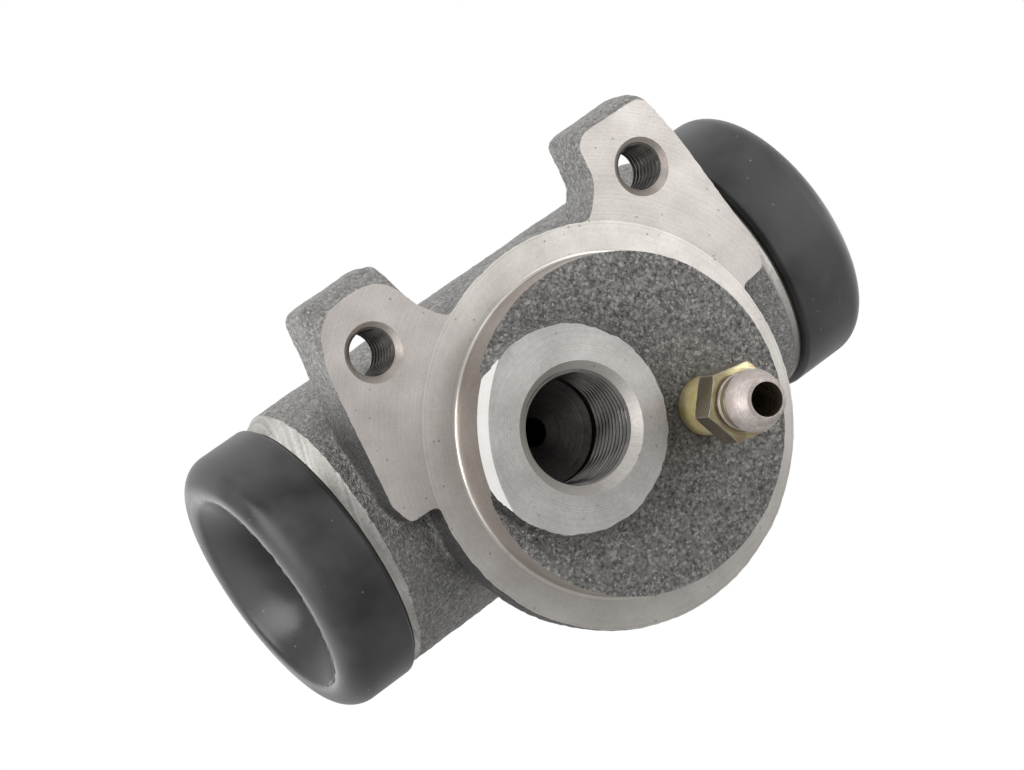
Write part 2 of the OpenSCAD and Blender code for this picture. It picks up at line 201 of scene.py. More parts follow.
mounts = {mount["name"]: mount for mount in frame["record"]["mounts"]}
port_at = tuple(value / MM for value in mounts["inlet_port"]["pos_m"])
hub_at = tuple(value / MM for value in mounts["hub_centre"]["pos_m"])
sand_iron, tree, place = new_finish("sand_cast_iron")
grain_mm, lump_mm, fleck_mm, patch_mm, corner_mm, bump_mm = 0.36, 1.1, 0.26, 8, 3.5, 0.9
# Heights between which the painted side shade fades out.
coarse_y, fine_y, side_shade_full_z, side_shade_clear_z = -3.6, -3.0, 13, 19
hollow, peak = 0.5, 0.8
grain = add_node(tree, "ShaderNodeTexNoise",
                 {"Vector": place, "Scale": 1 / grain_mm, "Detail": 3.0, "Roughness": 0.7})
lump = add_node(tree, "ShaderNodeTexNoise", {"Vector": place, "Scale": 1 / lump_mm, "Detail": 3.0})
patch = add_node(tree, "ShaderNodeTexNoise", {"Vector": place, "Scale": 1 / patch_mm, "Detail": 2.0})
relief = add_node(tree, "ShaderNodeMath", {0: lump, 1: 0.3, 2: grain}, operation="MULTIPLY_ADD")
part = add_node(tree, "ShaderNodeSeparateXYZ", {"Vector": place}).outputs
coarse = add_node(tree, "ShaderNodeMapRange",
                  {"Value": part["Y"], "From Min": coarse_y, "From Max": fine_y,
                   "To Min": 1.0, "To Max": 0.6})
middle = add_node(tree, "ShaderNodeMapRange",
                  {"Value": relief, "From Min": hollow, "From Max": peak,
                   "To Min": -0.37, "To Max": 0.37})
tone = add_node(tree, "ShaderNodeMath", {0: middle, 1: coarse, 2: 0.52}, operation="MULTIPLY_ADD")
shade = add_node(tree, "ShaderNodeMix", {0: tone, 6: linear("#3e3d3c"), 7: linear("#b2b0ad")},
                 data_type="RGBA")
worn = add_node(tree, "ShaderNodeMapRange",
                {"Value": patch, "From Min": 0.35, "From Max": 0.7, "To Min": 0.0, "To Max": 0.3})
dusty = add_node(tree, "ShaderNodeMix", {0: worn, 6: shade.outputs[2], 7: linear("#939290")},
                 data_type="RGBA")
shape = add_node(tree, "ShaderNodeNewGeometry").outputs
ridge = add_node(tree, "ShaderNodeMapRange",
                 {"Value": shape["Pointiness"], "From Min": 0.53, "From Max": 0.62,
                  "To Min": 0.0, "To Max": 0.55})
rubbed = add_node(tree, "ShaderNodeMath", {0: ridge, 1: tone}, operation="MULTIPLY")
# Painted highlight: random grains are painted bright as glints, most of all on the spigot's end.
flecks = add_node(tree, "ShaderNodeTexVoronoi", {"Vector": place, "Scale": 1 / fleck_mm})
lucky = add_node(tree, "ShaderNodeSeparateXYZ", {"Vector": flecks.outputs["Color"]})
painted_glint = add_node(tree, "ShaderNodeMapRange",
                 {"Value": lucky.outputs["X"], "From Min": 0.7, "From Max": 1.05,
                  "To Min": 0.0, "To Max": coarse})
rubbed_and_painted_glint = add_node(tree, "ShaderNodeMath", {0: rubbed, 1: painted_glint}, operation="MAXIMUM")
bright = add_node(tree, "ShaderNodeMix", {0: rubbed_and_painted_glint, 6: dusty.outputs[2], 7: linear("#c9c7c3")},
                  data_type="RGBA")
# Painted shade: the skin is darkened in its corners, as far as ambient occlusion finds them.
corner = add_node(tree, "ShaderNodeAmbientOcclusion", {"Distance": corner_mm * MM}, samples=8)
painted_corner_shade = add_node(tree, "ShaderNodeMapRange",
                 {"Value": corner.outputs["AO"], "From Min": 0.5, "From Max": 0.95,
                  "To Min": 0.5, "To Max": 0.0})
# Painted shade: faces turned along X are darkened low down, as on the pads' sides.
facing = add_node(tree, "ShaderNodeSeparateXYZ", {"Vector": shape["Normal"]}).outputs["X"]
endwise = add_node(tree, "ShaderNodeMath", {0: facing}, operation="ABSOLUTE")
upright = add_node(tree, "ShaderNodeMapRange", {"Value": endwise, "From Min": 0.5, "From Max": 0.85})
below = add_node(tree, "ShaderNodeMapRange",
                 {"Value": part["Z"], "From Min": side_shade_full_z, "From Max": side_shade_clear_z,
                  "To Min": 0.75, "To Max": 0.0})
painted_side_shade = add_node(tree, "ShaderNodeMath", {0: upright, 1: below}, operation="MULTIPLY")
# Painted shade: the corner shade and the side shade together darken the skin towards near black.
dark = add_node(tree, "ShaderNodeMath", {0: painted_corner_shade, 1: painted_side_shade}, operation="MAXIMUM")
colour = add_node(tree, "ShaderNodeMix", {0: dark, 6: bright.outputs[2], 7: linear("#2c2b2a")},
                  data_type="RGBA")
rough = add_node(tree, "ShaderNodeMapRange",
                 {"Value": relief, "From Min": hollow, "From Max": peak, "To Min": 0.6, "To Max": 0.4})
bump = add_node(tree, "ShaderNodeBump",
                {"Height": relief, "Strength": coarse, "Distance": bump_mm * MM})
surface(tree, {"Base Color": colour.outputs[2], "Roughness": rough, "Normal": bump, "Metallic": 0.75})


def tooled(name, pale, dark, axis_at, along, ring_mm, polish, pits=0.5, gleam=1.0, tint=None):
    """Metal cut by a turning tool or drill: rings about the tool's axis, smears, and small dark pits.
    A tint clouds it in patches, as plating does."""
    finish, tree, place = new_finish(name)
    smear_mm, grit_mm, pit_mm, cloud_mm, bump_mm = 4.5, 0.3, 1.3, 1.3, 0.03
    dull, crisp = 0.8, 1.6
    centred = add_node(tree, "ShaderNodeVectorMath", {0: place, 1: axis_at}, operation="SUBTRACT")
    part = add_node(tree, "ShaderNodeSeparateXYZ", {"Vector": centred})
    flat = add_node(tree, "ShaderNodeCombineXYZ", {"X": part.outputs["X"], "Y": part.outputs["Z"]})
    radius = add_node(tree, "ShaderNodeVectorMath", {0: flat}, operation="LENGTH")
    feed = part.outputs["Y"] if along else radius.outputs["Value"]
    line = add_node(tree, "ShaderNodeCombineXYZ", {"X": feed})
    rings = add_node(tree, "ShaderNodeTexNoise",
                     {"Vector": line, "Scale": 1 / ring_mm, "Detail": 2.0, "Roughness": 0.7})
    smear = add_node(tree, "ShaderNodeTexNoise",
                     {"Vector": place, "Scale": 1 / smear_mm, "Detail": 3.0})
    grit = add_node(tree, "ShaderNodeTexNoise",
                    {"Vector": place, "Scale": 1 / grit_mm, "Detail": 1.0})
    marks = add_node(tree, "ShaderNodeMath", {0: grit, 1: 0.4, 2: rings}, operation="MULTIPLY_ADD")
    level = add_node(tree, "ShaderNodeMath", {0: marks, 1: smear}, operation="ADD")
    tone = add_node(tree, "ShaderNodeMapRange", {"Value": level, "From Min": dull, "From Max": crisp})
    shade = add_node(tree, "ShaderNodeMix", {0: tone, 6: linear(dark), 7: linear(pale)},
                     data_type="RGBA")
    if tint:
        cloud = add_node(tree, "ShaderNodeTexNoise",
                         {"Vector": place, "Scale": 1 / cloud_mm, "Detail": 2.0})
        share = add_node(tree, "ShaderNodeMapRange",
                         {"Value": cloud, "From Min": 0.42, "From Max": 0.62,
                          "To Min": 0.0, "To Max": 0.8})
        shade = add_node(tree, "ShaderNodeMix", {0: share, 6: shade.outputs[2], 7: linear(tint)},
                         data_type="RGBA")
    cells = add_node(tree, "ShaderNodeTexVoronoi", {"Vector": place, "Scale": 1 / pit_mm})
    pit = add_node(tree, "ShaderNodeMapRange",
                   {"Value": cells.outputs["Distance"], "From Min": 0.05, "From Max": 0.12,
                    "To Min": pits, "To Max": 0.0})
    colour = add_node(tree, "ShaderNodeMix", {0: pit, 6: shade.outputs[2], 7: linear("#3b3734")},
                      data_type="RGBA")
    rough = add_node(tree, "ShaderNodeMapRange",
                     {"Value": level, "From Min": dull, "From Max": crisp,
                      "To Min": polish + 0.08, "To Max": polish - 0.05})
    bump = add_node(tree, "ShaderNodeBump",
                    {"Height": marks, "Strength": 0.25, "Distance": bump_mm * MM})
    surface(tree, {"Base Color": colour.outputs[2], "Roughness": rough, "Normal": bump,
                   "Metallic": gleam})
    return finish


faced_iron = tooled("faced_iron", "#c3beba", "#a39d99", hub_at, False, 0.16, 0.34)
ring_iron = tooled("faced_ring_iron", "#d8d4cf", "#bab5b0", hub_at, False, 0.22, 0.5)
foot_iron = tooled("foot_iron", "#dcd8d2", "#bab5ae", hub_at, True, 0.1, 0.3, pits=0.2)
turned_iron = tooled("turned_iron", "#cdc5c0", "#a0978f", hub_at, True, 0.12, 0.42)
# Painted highlight: near-white iron for the spigot's chamfer and the boss's lead-in cut, standing in for the light
# they reflect.
edge_iron = tooled("edge_iron", "#ffffff", "#f2eee8", hub_at, True, 0.2, 0.3, pits=0.2, gleam=0.25)
spot_iron = tooled("spot_faced_iron", "#cdcac7", "#a5a3a0", port_at, False, 0.14, 0.52, pits=0.3)
# Painted shade: the tapped and drilled finishes are darker than the faced iron, for the shade inside the holes.
port_tap_iron_with_painted_shade = tooled("tapped_iron", "#a09d9a", "#62605d", port_at, True, 0.3, 0.36, pits=0.1)
ear_tap_iron_with_painted_shade = tooled("ear_tapped_iron", "#86837f", "#484644", hub_at, True, 0.4, 0.4, pits=0.1)
drilled_iron = tooled("drilled_iron", "#6c6866", "#353332", port_at, False, 0.25, 0.4, pits=0.1)
band_iron = tooled("band_iron", "#d6d3ce", "#85827e", hub_at, False, 0.3, 0.36)

# The housing is one iron casting: barrel, hub, flange, ears, spigot and port boss. Sand leaves its skin
# rough and its corners round, so the raw shape is joined, rounded and roughened before it is machined.


def made(name, work, finishes):
    """Turns a bmesh into an object at the origin, with its faces outwards."""
    bmesh.ops.recalc_face_normals(work, faces=work.faces)
    mesh = bpy.data.meshes.new(name)
    work.to_mesh(mesh)
    work.free()
    for finish in finishes:
        mesh.materials.append(finish)
    piece = bpy.data.objects.new(name, mesh)
    scene.collection.objects.link(piece)
    return piece


def turned(name, profile, origin, axis, finish, segments=160):
    """A closed solid of revolution. The profile is (along, radius) points, each with an optional finish
    for the surface that starts there."""
    axis = Vector(axis)
    side = Vector((1, 0, 0)) if abs(axis.x) < 0.5 else Vector((0, 0, 1))
    up = axis.cross(side)
    finishes = [finish]
    work = bmesh.new()
    rings = []
    for point in profile:
        centre = Vector(origin) + axis * point[0]
        spokes = segments if point[1] > 0 else 1
        angles = [2 * math.pi * i / segments for i in range(spokes)]
        rings.append([work.verts.new((centre + (side * math.cos(a) + up * math.sin(a)) * point[1]) * MM)
                      for a in angles])
    for start, point in enumerate(profile):
        first, second = rings[start], rings[(start + 1) % len(rings)]
        wanted = point[2] if len(point) > 2 else finish
        if wanted not in finishes:
            finishes.append(wanted)
        if len(first) == 1 and len(second) == 1:
            continue
        for i in range(segments):
            j = (i + 1) % segments
            ring = [first[i % len(first)], first[j % len(first)],
                    second[j % len(second)], second[i % len(second)]]
            face = work.faces.new(list(dict.fromkeys(ring)))
            face.material_index = finishes.index(wanted)
    return made(name, work, finishes)


def settle(piece):
    """Replaces a piece's mesh with what its modifiers make of it."""
    depsgraph = bpy.context.evaluated_depsgraph_get()
    mesh = bpy.data.meshes.new_from_object(piece.evaluated_get(depsgraph))
    piece.modifiers.clear()
    piece.data = mesh
    mesh.name = piece.name


def machine(work, tool, operation="DIFFERENCE"):
    """Cuts the work with a tool or joins it on, with each one's finishes kept, and scraps the tool."""
    change = work.modifiers.new("machining", "BOOLEAN")
    change.operation = operation
    change.solver = "MANIFOLD"
    change.material_mode = "TRANSFER"
    change.object = tool
    settle(work)
    bpy.data.objects.remove(tool)


def sharpen(piece, skin, angle):
    """Smooth shading, broken where two finishes meet, and where faces that aren't skin meet at more
    than an angle."""
    work = bmesh.new()
    work.from_mesh(piece.data)
    finishes = piece.data.materials
    for face in work.faces:
        face.smooth = True
    for edge in work.edges:
        pair = {finishes[face.material_index] for face in edge.link_faces}
        gentle = pair == {skin} or edge.calc_face_angle(0) < math.radians(angle)
        edge.smooth = len(pair) == 1 and gentle
    work.to_mesh(piece.data)
    work.free()


left_end, right_end = ([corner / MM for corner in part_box(side + "_piston")]
                       for side in ("left", "right"))
bore_at = Vector(((left_end[0].x + right_end[1].x) / 2, (left_end[0].y + left_end[1].y) / 2,
                  (left_end[0].z + left_end[1].z) / 2))
ears_at = Vector(mounts["mounting_ears"]["pos_m"]) / MM
ear_hole_r = mounts["mounting_ears"]["dims"]["hole_r_mm"]
spigot_r = mounts["spigot"]["dims"]["r_mm"]
port_r = mounts["inlet_port"]["dims"]["r_mm"]
port_axis = (port_at[0], 0, port_at[2])
OUT_OF_FACE = (0, -1, 0)
ALONG_BORE = (1, 0, 0)

flange_r, flange_t, hub_depth, hub_taper = 20.4, 3.8, 9, 8
spigot_h, boss_top, boss_r, boss_out = 4.1, 5.85, 10.1, 1
boss_axis = Vector(port_axis)
boss_axis *= 1 + boss_out / boss_axis.length
barrel_r, cast_shift, shoulder_x, band_r = 14.725, 0.4, 26.8, 14.225
neck_r, neck_x, bore_r = 11.825, 30.3, 9.525
ear_step, ear_t, ear_rise, ear_top = 0.3, 7, ears_at.z, 6.5
ear_out, ear_in, ear_foot, ear_shift = 4.25, 5.35, 0.7, 0.3
hole_x = mounts["mounting_ears"]["dims"]["spacing_x_mm"] / 2
pad_corner, pad_side, pad_cut = 4, 6.7, 0.8
outer_draft, inner_draft = 8, 4
flange_stock, boss_stock, turning_stock, end_stock = 0.2, 0.8, 0.4, 0.2
hub_step, spigot_sunk, spigot_flare, brow_h, brow_out = 1, 1, 1, 0.6, 0.3
boss_foot, boss_waist, boss_brow = 0.7, 0.6, -0.1


def ear_outline(side, trim, lower, rounding):
    """Outline of half the pad and its ear, trimmed at the ear's sides, and lowered and rounded at its
    top."""
    outer = hole_x + side * ear_shift + ear_out - trim
    inner = hole_x + side * ear_shift - ear_in + trim / 2
    top = ear_rise + ear_top - lower
    pad = hole_x + pad_side - trim / 6
    points = [(0, pad_corner - 1.5), (pad - pad_cut, pad_corner), (pad, pad_corner + 3 * pad_cut),
              (outer + ear_foot, ear_rise + ear_foot), (outer + ear_foot / 2, ear_rise + 3 * ear_foot)]
    arcs = ((outer - rounding, outer_draft, 90), (inner + rounding, 90, 180 - inner_draft))
    for x, first, last in arcs:
        angles = [math.radians(first + (last - first) * i / 6) for i in range(7)]
        points += [(x + rounding * math.cos(a), top - rounding + rounding * math.sin(a))
                   for a in angles]
    points += [(inner - ear_foot / 4, ear_rise + 3 * ear_foot),
               (inner - ear_foot, ear_rise + 1.4 * ear_foot),
               (inner - 4 * ear_foot, ear_rise - 2 * ear_foot), (0, ear_rise - 8 * ear_foot)]
    return points


def ear_block(side, levels):
    """Raw casting of one ear and its half of the pad, from levels of (depth, trim, lower, rounding)."""
    work = bmesh.new()
    layers = [[work.verts.new(Vector((side * x, y, z)) * MM) for x, z in ear_outline(side, *sizes)]
              for y, *sizes in levels]
    work.faces.new(layers[0])
    work.faces.new(layers[-1][::-1])
    for near, far in zip(layers, layers[1:]):
        for i in range(len(near)):
            j = (i + 1) % len(near)
            work.faces.new((near[i], far[i], far[j], near[j]))
    return made("ear_block", work, [sand_iron])


barrel_from = Vector((bore_at.x - shoulder_x - end_stock, bore_at.y, bore_at.z + cast_shift))
barrel_len = 2 * shoulder_x + 2 * end_stock
barrel_raw = [(0, 0), (0, barrel_r), (barrel_len, barrel_r), (barrel_len, 0)]
casting = turned("casting", barrel_raw, barrel_from, ALONG_BORE, sand_iron)
hub_raw = [(-hub_depth - flange_t, 0), (-hub_depth - flange_t, flange_r - hub_taper),
           (-flange_t, flange_r - hub_step), (-flange_t, flange_r), (flange_stock, flange_r),
           (flange_stock, 0)]
hub = turned("hub", hub_raw, hub_at, OUT_OF_FACE, sand_iron)
spigot_raw = [(-spigot_sunk, 0), (-spigot_sunk, spigot_r + spigot_flare),
              (spigot_h - brow_h, spigot_r + turning_stock + brow_out),
              (spigot_h, spigot_r + turning_stock), (spigot_h, 0)]
spigot = turned("spigot", spigot_raw, hub_at, OUT_OF_FACE, sand_iron)
boss_raw = [(0, 0), (0, boss_r + boss_foot), (spigot_h, boss_r + boss_waist),
            (boss_top + boss_stock, boss_r + boss_brow), (boss_top + boss_stock, 0)]
boss = turned("boss", boss_raw, boss_axis, OUT_OF_FACE, sand_iron)
ear_back = ear_step + ear_t
ear_brow = ear_back - 0.5
left_ear = ear_block(-1, [(-0.6, -0.2, 1.0, 4.4), (ear_step, -0.5, 0.55, 4.2), (1.3, -0.4, -0.1, 2.8),
                          (2.6, -0.3, -0.6, 1.4), (ear_brow, -0.3, -0.6, 1.4),
                          (ear_back, 0, -0.2, 1.6)])
right_ear = ear_block(1, [(-0.6, 0.3, 0.7, 2.2), (ear_step, 0.1, 0.45, 1.8), (1.1, 0, 0, 1.5),
                          (2.6, 0, -0.3, 1.4), (ear_brow, 0, -0.3, 1.4), (ear_back, 0.2, 0.1, 1.6)])
for raw in (hub, spigot, boss, left_ear, right_ear):
    machine(casting, raw, "UNION")

voxels = casting.modifiers.new("even_mesh", "REMESH")
voxels.mode = "VOXEL"
voxels.voxel_size = 0.38 * MM
rounding = casting.modifiers.new("sand_rounding", "SMOOTH")
rounding.factor = 0.5
rounding.iterations = 7

# Geometry nodes press the sand's grain into the skin: broad waviness, and pebbles that are deeper on
# the spigot's end, which the sand core shaped.


def new_growth(name, kinds):
    """A geometry-nodes tree with named inputs of the given kinds. Also gives its inputs' sockets by
    name, and what its input node puts out."""
    tree = bpy.data.node_groups.new(name, "GeometryNodeTree")
    sockets = {}
    for label, kind in kinds.items():
        socket = tree.interface.new_socket(name=label, in_out="INPUT", socket_type="NodeSocket" + kind)
        sockets[label] = socket.identifier
    tree.interface.new_socket(name="Geometry", in_out="OUTPUT", socket_type="NodeSocketGeometry")
    return tree, sockets, add_node(tree, "NodeGroupInput").outputs


def end_growth(tree, geometry, finish):
    """Ends a geometry-nodes tree, with instances made real and the finish put on."""
    whole = add_node(tree, "GeometryNodeRealizeInstances", {"Geometry": geometry})
    dressed = add_node(tree, "GeometryNodeSetMaterial", {"Geometry": whole, "Material": finish})
    add_node(tree, "NodeGroupOutput", {"Geometry": dressed})


def grow(piece, tree, sockets, values):
    """Shapes a piece with a geometry-nodes tree, whose inputs' values are given by name."""
    change = piece.modifiers.new("growth", "NODES")
    change.node_group = tree
    for label, value in values.items():
        change[sockets[label]] = value
    settle(piece)


skin_mm = {"Wave size": 6, "Wave depth": 0.2, "Pebble size": 0.9, "Pebble depth": 0.25,
           "Coarse beyond": -3.3}
skin_kinds = {"Geometry": "Geometry"} | dict.fromkeys(skin_mm, "Float")
skin, skin_sockets, given = new_growth("sand_skin", skin_kinds)
spot = add_node(skin, "GeometryNodeInputPosition")
wave_scale = add_node(skin, "ShaderNodeMath", {0: 1.0, 1: given["Wave size"]}, operation="DIVIDE")
pebble_scale = add_node(skin, "ShaderNodeMath", {0: 1.0, 1: given["Pebble size"]}, operation="DIVIDE")
wave = add_node(skin, "ShaderNodeTexNoise", {"Vector": spot, "Scale": wave_scale, "Detail": 1.0})
pebble = add_node(skin, "ShaderNodeTexNoise", {"Vector": spot, "Scale": pebble_scale, "Detail": 2.0})
depth_y = add_node(skin, "ShaderNodeSeparateXYZ", {"Vector": spot}).outputs["Y"]
fore = add_node(skin, "ShaderNodeMath", {0: depth_y, 1: given["Coarse beyond"]}, operation="LESS_THAN")
coarse = add_node(skin, "ShaderNodeMath", {0: fore, 1: 1.0, 2: 1.0}, operation="MULTIPLY_ADD")
wave_mid = add_node(skin, "ShaderNodeMath", {0: wave, 1: 0.5}, operation="SUBTRACT")
wave_out = add_node(skin, "ShaderNodeMath", {0: wave_mid, 1: given["Wave depth"]}, operation="MULTIPLY")
pebble_mid = add_node(skin, "ShaderNodeMath", {0: pebble, 1: 0.5}, operation="SUBTRACT")
pebble_out = add_node(skin, "ShaderNodeMath", {0: pebble_mid, 1: given["Pebble depth"]},
                      operation="MULTIPLY")
rise = add_node(skin, "ShaderNodeMath", {0: pebble_out, 1: coarse, 2: wave_out},
                operation="MULTIPLY_ADD")
outwards = add_node(skin, "GeometryNodeInputNormal")
push = add_node(skin, "ShaderNodeVectorMath", {0: outwards, "Scale": rise}, operation="SCALE")
moved = add_node(skin, "GeometryNodeSetPosition", {"Geometry": given["Geometry"], "Offset": push})
end_growth(skin, moved, sand_iron)
grow(casting, skin, skin_sockets, {label: size * MM for label, size in skin_mm.items()})

# Machining: the lathe faces the pads and the flange and turns the spigot in one setting, a spot-facer
# cleans the port boss, and both barrel ends are bevelled, banded and necked for the boots.
far_out, clear, hair, over = 45, 12, 0.01, 1
foot_r, spigot_straight, lead_in, spot_r = 0.38, 5.4, 1.0, boss_r + 4
foot_angles = [math.radians(a) for a in (0, 18, 36, 54, 72)]
foot = [(foot_r * (1 - math.cos(a)), spigot_r + foot_r * (1 - math.sin(a)), foot_iron)
        for a in foot_angles]
lathe_cut = [(-ear_step, flange_r, ring_iron)] + foot
# The chamfer and the lead-in take the painted highlight finish.
lathe_cut += [(foot_r, spigot_r, turned_iron), (spigot_straight, spigot_r, edge_iron),
              (boss_top + hair, spigot_r - lead_in, edge_iron), (clear, spigot_r - lead_in, edge_iron),
              (clear, far_out, faced_iron), (-ear_step, far_out, faced_iron)]
machine(casting, turned("lathe", lathe_cut, hub_at, OUT_OF_FACE, faced_iron, 256))
spot_cut = [(boss_top, 0), (boss_top, spot_r), (clear, spot_r), (clear, 0)]
machine(casting, turned("spot_facer", spot_cut, port_axis, OUT_OF_FACE, spot_iron))
crown, edge_w, past_end, past_rim = 0.12, 0.3, 3, 5
for end, band_w, bevel_len, bevel_rise in ((-1, 0.65, 1.75, 1.05), (1, 1.3, 1.2, 0.9)):
    bevel_x = shoulder_x - band_w - bevel_len
    end_cut = [(bevel_x, band_r + bevel_rise), (shoulder_x - band_w, band_r + crown / 2),
               (shoulder_x - band_w / 2, band_r), (shoulder_x - edge_w, band_r - crown),
               (shoulder_x, band_r - 3 * crown), (shoulder_x, 0), (shoulder_x + past_end, 0),
               (shoulder_x + past_end, band_r + past_rim), (bevel_x, band_r + past_rim)]
    machine(casting, turned("end_cutter", end_cut, bore_at, (end, 0, 0), band_iron, 256))
neck_stock = [(-neck_x, 0), (-neck_x, neck_r), (neck_x, neck_r), (neck_x, 0)]
machine(casting, turned("necks", neck_stock, bore_at, ALONG_BORE, band_iron), "UNION")
mouth = 1
bore_cut = [(-neck_x - over, 0), (-neck_x - over, bore_r + mouth + over), (-neck_x + mouth, bore_r),
            (neck_x - mouth, bore_r), (neck_x + over, bore_r + mouth + over), (neck_x + over, 0)]
machine(casting, turned("bore", bore_cut, bore_at, ALONG_BORE, band_iron))
groove_x, groove_w, groove_depth, groove_over = shoulder_x + 0.55, 1.4, 0.7, 0.2
groove_cut = [(groove_x, neck_r - groove_depth), (groove_x, neck_r + groove_over),
              (groove_x + groove_w, neck_r + groove_over), (groove_x + groove_w, neck_r - groove_depth)]
for end in (-1, 1):
    machine(casting, turned("groove", groove_cut, bore_at, (end, 0, 0), band_iron))

# Holes: the port is drilled, chamfered and tapped for the brake pipe, the ears for the mounting screws.
# A geometry-nodes tap has the thread's true section, and cuts it into the drilled hole.
thread_pitch, steps_a_turn, tap_sides = 0.8, 10, 72
tap_kinds = dict.fromkeys(("Core radius", "Thread depth", "Pitch", "Length"), "Float")
tap, tap_sockets, given = new_growth("thread_tap", tap_kinds | {"Steps": "Int", "Finish": "Material"})
rod = add_node(tap, "GeometryNodeMeshCylinder",
               {"Vertices": tap_sides, "Side Segments": given["Steps"],
                "Radius": given["Core radius"], "Depth": given["Length"]})
spot = add_node(tap, "GeometryNodeInputPosition")
part = add_node(tap, "ShaderNodeSeparateXYZ", {"Vector": spot}).outputs
angle = add_node(tap, "ShaderNodeMath", {0: part["Y"], 1: part["X"]}, operation="ARCTAN2")
turns = add_node(tap, "ShaderNodeMath", {0: angle, 1: 2 * math.pi}, operation="DIVIDE")
climb = add_node(tap, "ShaderNodeMath", {0: part["Z"], 1: given["Pitch"]}, operation="DIVIDE")
phase = add_node(tap, "ShaderNodeMath", {0: climb, 1: turns}, operation="SUBTRACT")
wave = add_node(tap, "ShaderNodeMath", {0: phase, 1: 0.5}, operation="PINGPONG")
flank = add_node(tap, "ShaderNodeMapRange", {"Value": wave, "From Min": 0.125, "From Max": 0.44})
depth = add_node(tap, "ShaderNodeMath", {0: flank, 1: given["Thread depth"]}, operation="MULTIPLY")
outwards = add_node(tap, "ShaderNodeVectorMath", {0: spot, 1: (1, 1, 0)}, operation="MULTIPLY")
unit = add_node(tap, "ShaderNodeVectorMath", {0: outwards}, operation="NORMALIZE")
push = add_node(tap, "ShaderNodeVectorMath", {0: unit, "Scale": depth}, operation="SCALE")
cut = add_node(tap, "GeometryNodeSetPosition", {"Geometry": rod.outputs["Mesh"], "Offset": push})
end_growth(tap, cut, given["Finish"])


def thread(name, core, deep, deepest, nearest, axis_at, finish):
    """A tap on an axis out of the face, with its thread between two depths behind the face."""
    length = deepest - nearest
    sizes = {"Core radius": core, "Thread depth": deep, "Pitch": thread_pitch, "Length": length}
    values = {label: size * MM for label, size in sizes.items()}
    values["Steps"] = round(length / thread_pitch * steps_a_turn)
    values["Finish"] = finish
    piece = made(name, bmesh.new(), [])
    grow(piece, tap, tap_sockets, values)
    middle = Vector((axis_at[0], (deepest + nearest) / 2, axis_at[2])) * MM
    piece.data.transform(Matrix.Translation(middle) @ Matrix.Rotation(math.radians(90), 4, "X"))
    return piece


port_chamfer_r, port_depth, passage_r, drill_angle = 6.6, 9.6, 1.5, 118
port_thread, port_relief, port_lead = 0.42, 0.9, 0.5
port_cone = (port_r - passage_r) * math.tan(math.radians(90 - drill_angle / 2))
port_end = boss_top - port_depth
port_cut = [(-bore_at.y, 0), (-bore_at.y, passage_r), (port_end - port_cone, passage_r),
            (port_end, port_r, port_tap_iron_with_painted_shade), (boss_top - port_chamfer_r + port_r, port_r, ring_iron),
            (boss_top + over, port_chamfer_r + over), (boss_top + over, 0)]
machine(casting, turned("port_drill", port_cut, port_axis, OUT_OF_FACE, drilled_iron))
machine(casting, thread("port_tap", port_r, port_thread, -port_end - port_relief, -boss_top + port_lead,
                        port_axis, port_tap_iron_with_painted_shade))
ear_chamfer, back_less, ear_thread = 0.65, 0.4, 0.4
ear_core_r, ear_mouth_r = ear_hole_r - 0.22, ear_hole_r + ear_chamfer + over
ear_cut = [(-ear_back - over, 0), (-ear_back - over, ear_mouth_r - back_less),
           (-ear_back + ear_chamfer - back_less, ear_core_r),
           (-ear_step - ear_chamfer, ear_core_r, turned_iron),
           (-ear_step + over, ear_mouth_r), (-ear_step + over, 0)]
for ear_x in (-hole_x, hole_x):
    ear_at = (ear_x, 0, ear_rise)
    machine(casting, turned("ear_drill", ear_cut, ear_at, OUT_OF_FACE, ear_tap_iron_with_painted_shade, 96))
    machine(casting, thread("ear_tap", ear_core_r, ear_thread, ear_back + over, ear_step - over,
                            ear_at, ear_tap_iron_with_painted_shade))
bleed_joint = next(joint for joint in frame["joints"] if joint["child"] == "bleed_screw")
bleed_at = (bleed_joint["pos_m"][0] / MM, 0, bleed_joint["pos_m"][2] / MM)
bleed_depth, bleed_r, bleed_way_r, bleed_fit, seat_gap = 8, 3, 0.9, 0.05, 0.2
bleed_end = spigot_h - bleed_depth
seat_end = bleed_end - bleed_r + bleed_way_r
bleed_cut = [(-bore_at.y, 0), (-bore_at.y, bleed_way_r), (seat_end - seat_gap, bleed_way_r),
             (bleed_end - seat_gap, bleed_r + bleed_fit), (spigot_h + 2, bleed_r + bleed_fit),
             (spigot_h + 2, 0)]
machine(casting, turned("bleed_drill", bleed_cut, bleed_at, OUT_OF_FACE, drilled_iron, 64))
sharpen(casting, sand_iron, 30)
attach(casting, "housing")
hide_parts("housing")

# The bleed screw is turned from hexagon steel bar and plated with yellow zinc: gold on the shank, dark
# bronze on the hexagon, olive on its front, and silver with a pink tint on the nose that the hose grips.
# Its bevelled edges carry a painted highlight in white.
gold_zinc = tooled("gold_zinc", "#fffbdc", "#dcc46e", bleed_at, True, 0.3, 0.3,
                   pits=0.0, gleam=0.5, tint="#dcc682")
bronze_zinc = tooled("bronze_zinc", "#b0a197", "#54484a", bleed_at, True, 0.3, 0.26,
                     pits=0.0, gleam=0.8, tint="#8d8560")
olive_zinc = tooled("olive_zinc", "#cfc59c", "#7a6f4e", bleed_at, False, 0.3, 0.24,
                    pits=0.0, gleam=0.9, tint="#9a8672")
silver_zinc = tooled("silver_zinc", "#f6efea", "#7c7274", bleed_at, True, 0.13, 0.56,
                     pits=0.0, gleam=0.85, tint="#bfb1a8")
# Painted highlight: white for the bevelled edges, where they would catch the light.
rim_zinc = tooled("rim_zinc", "#ffffff", "#f4efe2", bleed_at, True, 0.3, 0.25, pits=0.0, gleam=0.3)

